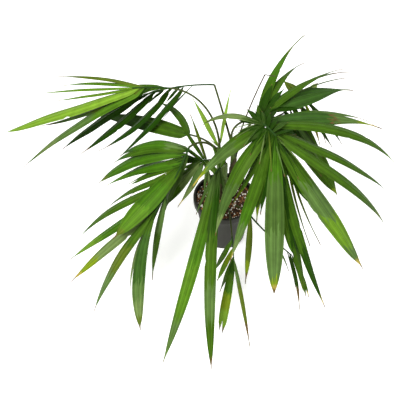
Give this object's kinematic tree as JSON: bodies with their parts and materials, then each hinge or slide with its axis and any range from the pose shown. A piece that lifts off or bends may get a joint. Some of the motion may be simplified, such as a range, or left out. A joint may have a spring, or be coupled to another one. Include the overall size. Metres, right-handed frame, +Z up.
{
  "type": "potted cat palm",
  "caption": "Young clumping cat palm in a round tapered nursery pot, with slim canes, arching stalks and long drooping leaflets.",
  "frame": {"origin": "centre of the pot's flat underside", "axes": "+Z up along the pot's axis, -Y towards the side the picture looks from, +X to its right"},
  "size_m": [0.7942, 0.5488, 0.4159],
  "materials": {
    "black_plastic": "satin moulded",
    "potting_mix": "loose and moist",
    "cane_sheath": "fibrous",
    "green_stalk": "smooth",
    "dry_stalk": "dry",
    "young_leaf": "satin",
    "palm_leaf": "satin"
  },
  "bodies": {
    "root": {"pot": "black_plastic", "soil": "potting_mix", "cane_left": "cane_sheath", "cane_right": "cane_sheath", "cane_front": "cane_sheath", "spears": "young_leaf", "petiole_left_high": "green_stalk", "petiole_left_kinked": "green_stalk", "petiole_left_middle": "green_stalk", "petiole_left_low": "green_stalk", "petiole_left_small": "green_stalk", "petiole_right": "green_stalk", "petiole_right_back": "green_stalk", "petiole_right_under": "green_stalk", "petiole_front_long": "green_stalk", "petiole_front_low": "green_stalk", "petiole_right_low": "green_stalk", "petiole_dry": "dry_stalk", "frond_left_high": "palm_leaf", "frond_left_kinked": "palm_leaf", "frond_left_middle": "palm_leaf", "frond_left_low": "palm_leaf", "frond_left_small": "palm_leaf", "frond_right": "palm_leaf", "frond_right_back": "palm_leaf", "frond_right_under": "palm_leaf", "frond_front_long": "palm_leaf", "frond_front_low": "palm_leaf", "frond_right_low": "palm_leaf", "frond_dry": "dry_stalk"}
  },
  "joints": []
}
